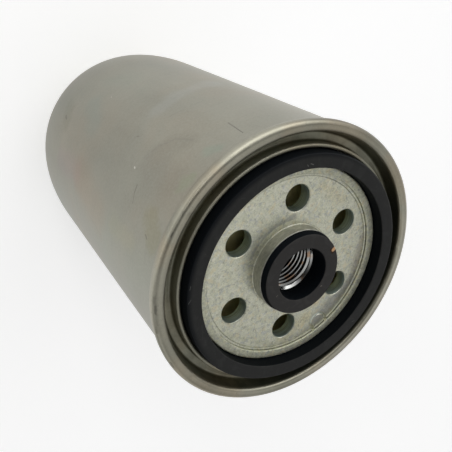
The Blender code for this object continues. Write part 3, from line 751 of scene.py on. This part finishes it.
seal = turned("hub_grommet", finer(rounded([
    (8.1, 0.0, 0.15), (8.1, 6.0, 0.3), (12.3, 6.0, 0.3), (12.78, 3.86, 0.08), (11.3, 3.86, 0.1), (11.3, 0.0, 0.15)]), 0.6),
    segments=192)
stands_for(seal, "hub_seal", "housing", GROMMET)

# ---- spring, which the element squeezes
def spring_mesh():
    wire, mean, turns, per_turn, sides = 1.8, 13.5, 5.0, 64, 20
    low, high = BASE + 1.0 + wire / 2, BASE + 25.4 - wire / 2
    count = int(turns * per_turn)
    centres = []
    for k in range(count + 1):
        turn = turns * k / count
        if turn <= 1:
            climb = wire * 1.08 * turn
        elif turn >= turns - 1:
            climb = (high - low) - wire * 1.08 * (turns - turn)
        else:
            climb = wire * 1.08 + ((high - low) - 2.16 * wire) * (turn - 1) / (turns - 2)
        centres.append((2 * pi * turn, low + climb))
    points, faces = [], []
    for angle, z in centres:
        out = Vector((cos(angle), sin(angle), 0.0))
        middle = out * mean + Vector((0.0, 0.0, z))
        for s in range(sides):
            a = 2 * pi * s / sides
            points.append(tuple(middle + (out * cos(a) + Vector((0, 0, 1)) * sin(a)) * wire / 2))
    for k in range(count):
        for s in range(sides):
            t = (s + 1) % sides
            faces.append([k * sides + s, k * sides + t, (k + 1) * sides + t, (k + 1) * sides + s])
    faces.append(list(range(sides))[::-1])
    faces.append([count * sides + s for s in range(sides)])
    return piece("element_spring", points, faces)


coil = spring_mesh()
stands_for(coil, "spring", "housing", SPRING)
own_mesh(coil)

# ================================================================ filter element
washer = turned("element_washer", rounded([
    (11.3, -7.7, 0.1), (11.3, -5.3, 0.1), (12.4, -4.3, 0.2), (14.2, -4.3, 0.4), (14.2, -7.7, 0.2)], 15.0), segments=128)
stands_for(washer, "element_seal", "element", WASHER)

top_cap = turned("pressed_upper_cap", rounded([
    (11.6, -8.5, 0.0), (11.6, -8.0, 0.2), (37.0, -8.0, 0.9), (37.0, -12.5, 0.15), (36.5, -12.5, 0.15),
    (36.5, -8.5, 0.4)], 12.0), segments=192)
stands_for(top_cap, "upper_end_cap", "element", CAP)

for name, node, z_cap, z_open in (("upper_potting_ring", "upper_potting", -8.8, -10.9),
                                  ("lower_potting_ring", "lower_potting", -110.9, -108.8)):
    ring = turned(name, rounded([(13.8, z_cap, 0.15), (36.2, z_cap, 0.4), (36.2, z_open, 0.5), (13.8, z_open, 0.5)]
                                if z_cap < z_open else
                                [(13.8, z_open, 0.5), (36.2, z_open, 0.5), (36.2, z_cap, 0.4), (13.8, z_cap, 0.15)],
                                15.0), segments=160)
    stands_for(ring, node, "element", POTTING)


def pleat_line(fold_r, root_r, fold_half, root_half, arc=4):
    """One closed line round the pleats with rounded folds and roots."""
    out = []
    count = 36
    for k in range(count):
        for centre, r, half, way in ((2 * pi * k / count, fold_r, fold_half, -1.0),
                                     (2 * pi * (k + 0.5) / count, root_r, root_half, 1.0)):
            for s in range(-arc, arc + 1):
                side = half * sin(pi / 2 * s / arc)
                rr = r + way * half * (1 - cos(pi / 2 * s / arc))
                out.append((rr * cos(centre) - side * sin(centre), rr * sin(centre) + side * cos(centre)))
    return out


def pleated():
    outer, inner = pleat_line(35.8, 14.8, 1.1, 0.35), pleat_line(35.3, 14.3, 0.62, 0.82)
    levels = [-108.5 + (97.3 * k / 24) for k in range(25)]
    n = len(outer)
    points, faces = [], []
    for i, z in enumerate(levels):
        sway = 0.10 * sin(pi * i / 24)
        for line in (outer, inner):
            for x, y in line:
                a = atan2(y, x)
                turn = sway * sin(7 * a + z / 9.0) / 25.0
                points.append((x * cos(turn) - y * sin(turn), x * sin(turn) + y * cos(turn), z))
    for i in range(len(levels) - 1):
        lo, hi = i * 2 * n, (i + 1) * 2 * n
        for j in range(n):
            k = (j + 1) % n
            faces.append([lo + j, lo + k, hi + k, hi + j])
            faces.append([lo + n + k, lo + n + j, hi + n + j, hi + n + k])
    top = (len(levels) - 1) * 2 * n
    for j in range(n):
        k = (j + 1) % n
        faces.append([top + j, top + k, top + n + k, top + n + j])
        faces.append([k, j, n + j, n + k])
    return piece("pleated_paper", points, faces, sharp=60.0)


paper = pleated()
stands_for(paper, "pleated_media", "element", PAPER)

tube = turned("perforated_tube", finer([(12.9, -110.9), (13.5, -110.9), (13.5, -8.8), (12.9, -8.8)], 8.0), segments=96)
drills = []
for row in range(5):
    z = -111.7 + 103.7 * (row + 0.75) / 5.5
    for k in range(6):
        around = 2 * pi * (k + 0.5 * (row % 2)) / 6 + pi / 24
        pts, fcs = turned_grid([(0.0, -2.5), (2.6, -2.5), (2.6, 2.5), (0.0, 2.5)], 32, closed=False)
        spin = Matrix.Translation((13.5 * cos(around), 13.5 * sin(around), z)) @ \
            Vector((cos(around), sin(around), 0)).to_track_quat("Z", "Y").to_matrix().to_4x4()
        drills.append(piece(f"drill_{row}_{k}", [tuple(spin @ Vector(p)) for p in pts], fcs))
carve(tube, drills)
stands_for(tube, "centre_tube", "element", TUBE)

bottom_cap = turned("pressed_lower_cap", rounded([
    (0.0, -111.7, 0.0), (37.0, -111.7, 0.9), (37.0, -107.2, 0.15), (36.5, -107.2, 0.15), (36.5, -111.2, 0.4),
    (0.0, -111.2, 0.0)], 12.0), segments=192, closed=False)
stands_for(bottom_cap, "lower_end_cap", "element", CAP)

seat = turned("spring_seat_cup", rounded([
    (0.0, -112.6, 0.0), (16.3, -112.6, 0.3), (16.4, -115.9, 0.1), (17.0, -115.9, 0.1), (17.0, -112.0, 0.6),
    (0.0, -112.0, 0.0)], 12.0), segments=128, closed=False)
stands_for(seat, "spring_seat", "element", SEAT)

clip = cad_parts["media_seam_clip"]
clip.data.materials.clear()
clip.data.materials.append(CLIP)

# ================================================================ studio
floor_look = Look("studio_floor", Roughness=0.9, Emission_Color=(1.0, 1.0, 1.0, 1.0), Emission_Strength=0.335)
floor_look.colour(floor_look.blend(floor_look.span(floor_look.noise(6.0, 3.0), 0.3, 0.7), (0.90, 0.90, 0.90),
                                   (0.915, 0.915, 0.915)))
bpy.ops.mesh.primitive_circle_add(vertices=96, radius=3.0, fill_type="NGON", location=(0, 0, 0))
floor = bpy.context.object
floor.name = "studio_floor"
floor.data.materials.append(floor_look.mat)
floor.visible_glossy = False
floor.visible_shadow = False

camera_data = bpy.data.cameras.new("photo_camera")
camera_data.sensor_width = 36.0
camera_data.lens = 45.434
camera_data.shift_x = 0.00591
camera_data.shift_y = -0.08384
camera_data.clip_start = 0.01
camera_data.clip_end = 50.0
camera = bpy.data.objects.new("photo_camera", camera_data)
camera.location = (-0.0236248, -0.1200100, FACE * MM + 0.1147357)
camera.rotation_euler = Euler((radians(-23.463144), radians(-29.326179), radians(123.653127)), "XYZ")
bpy.context.scene.collection.objects.link(camera)
bpy.context.scene.camera = camera

turn = camera.rotation_euler.to_matrix()
right, up, back = turn.col[0], turn.col[1], turn.col[2]
target = Vector((0.0, 0.0, FACE * MM))


def soft_box(name, direction, distance, size, power, colour=(1.0, 1.0, 1.0)):
    data = bpy.data.lights.new(name, "AREA")
    data.shape = "DISK"
    data.size = size
    data.energy = power
    data.color = colour
    obj = bpy.data.objects.new(name, data)
    obj.location = target + direction.normalized() * distance
    obj.rotation_euler = direction.to_track_quat("Z", "Y").to_euler()
    bpy.context.scene.collection.objects.link(obj)
    return obj


# (right, up, towards the camera) and power of each soft disc light
for name, (across, above, front), power in (("key", (-0.45, 0.45, 1.0), 0.44), ("key_top", (0.0, 0.6, 1.0), 0.36),
                                            ("key_high", (-0.2, 1.2, 0.8), 0.37), ("key_left", (-0.6, 0.0, 1.0), 0.20),
                                            ("key_low_left", (-1.2, 0.9, 0.3), 0.10)):
    soft_box(name, right * across + up * above + back * front, 0.9, 0.35, power)

# a broad light for the floor alone, so that the object's shadow stays soft and faint
floor_only = bpy.data.collections.new("floor_only")
floor_only.objects.link(floor)
sweep = bpy.data.lights.new("floor_light", "SUN")
sweep.energy = 1.0
sweep.angle = radians(50.0)
floor_light = bpy.data.objects.new("floor_light", sweep)
toward = Vector((cos(radians(250.0)) * cos(radians(34.0)), sin(radians(250.0)) * cos(radians(34.0)), sin(radians(34.0))))
floor_light.rotation_euler = toward.to_track_quat("Z", "Y").to_euler()
floor_light.location = target + toward
bpy.context.scene.collection.objects.link(floor_light)
floor_light.light_linking.receiver_collection = floor_only

world = bpy.data.worlds.new("studio_world")
bpy.context.scene.world = world
world.use_nodes = True
tree = world.node_tree
tree.nodes.clear()
output = tree.nodes.new("ShaderNodeOutputWorld")
coords = tree.nodes.new("ShaderNodeTexCoord")

# (azimuth and elevation in degrees in the row frame, sharpness, brightness)
LOBES = [
    (-101, -75, 12, 0.23),
    (19, -75, 12, 0.20),
    (139, -75, 12, 0.29),
    (-146, -45, 12, 0.50),
    (-101, -45, 12, 0.45),
    (-56, -45, 12, 0.38),
    (-11, -45, 12, 0.69),
    (34, -45, 12, 0.43),
    (79, -45, 12, 0.68),
    (124, -45, 12, 0.56),
    (169, -45, 12, 0.48),
    (-161, -15, 12, 0.82),
    (-131, -15, 12, 0.93),
    (-101, -15, 12, 0.38),
    (-71, -15, 12, 0.86),
    (-41, -15, 12, 0.36),
    (19, -15, 12, 0.10),
    (49, -15, 12, 0.79),
    (109, -15, 12, 1.45),
    (139, -15, 12, 0.33),
    (-176, 15, 12, 1.66),
    (-146, 15, 12, 1.18),
    (-56, 15, 12, 0.19),
    (-26, 15, 12, 0.21),
    (4, 15, 12, 0.64),
    (34, 15, 12, 0.21),
    (64, 15, 12, 0.08),
    (94, 15, 12, 0.30),
    (154, 15, 12, 1.35),
    (-21, 45, 12, 0.22),
    (59, 45, 12, 0.24),
    (99, 45, 12, 0.26),
    (179, 45, 12, 0.11),
    (7, 70, 12, 0.28),
    (79, 70, 12, 0.46),
    (-101, 90, 12, 0.26),
]
AMBIENT = 0.0


def world_maths(operation, a, b=None, clamp=False):
    node = tree.nodes.new("ShaderNodeMath")
    node.operation = operation
    node.use_clamp = clamp
    for i, value in enumerate((a, b)):
        if isinstance(value, bpy.types.NodeSocket):
            tree.links.new(value, node.inputs[i])
        elif value is not None:
            node.inputs[i].default_value = value
    return node.outputs[0]


def lobe(azimuth, elevation, sharpness):
    direction = (cos(radians(azimuth)) * cos(radians(elevation)), sin(radians(azimuth)) * cos(radians(elevation)),
                 sin(radians(elevation)))
    dot = tree.nodes.new("ShaderNodeVectorMath")
    dot.operation = "DOT_PRODUCT"
    tree.links.new(coords.outputs["Generated"], dot.inputs[0])
    dot.inputs[1].default_value = direction
    return world_maths("POWER", world_maths("MAXIMUM", dot.outputs["Value"], 0.0), sharpness)


total = None
for azimuth, elevation, sharpness, strength in LOBES:
    one = world_maths("MULTIPLY", lobe(azimuth, elevation, sharpness), strength)
    total = one if total is None else world_maths("ADD", total, one)
total = world_maths("MAXIMUM", world_maths("ADD", total, AMBIENT), 0.0)
light = tree.nodes.new("ShaderNodeBackground")
light.inputs["Color"].default_value = (1.0, 1.0, 1.0, 1.0)
tree.links.new(total, light.inputs["Strength"])
plain = tree.nodes.new("ShaderNodeBackground")
plain.inputs["Color"].default_value = (1.0, 1.0, 1.0, 1.0)
plain.inputs["Strength"].default_value = 0.985
path = tree.nodes.new("ShaderNodeLightPath")
choose = tree.nodes.new("ShaderNodeMixShader")
tree.links.new(path.outputs["Is Camera Ray"], choose.inputs["Fac"])
tree.links.new(light.outputs[0], choose.inputs[1])
tree.links.new(plain.outputs[0], choose.inputs[2])
tree.links.new(choose.outputs[0], output.inputs["Surface"])

bpy.context.scene.view_settings.view_transform = "Standard"
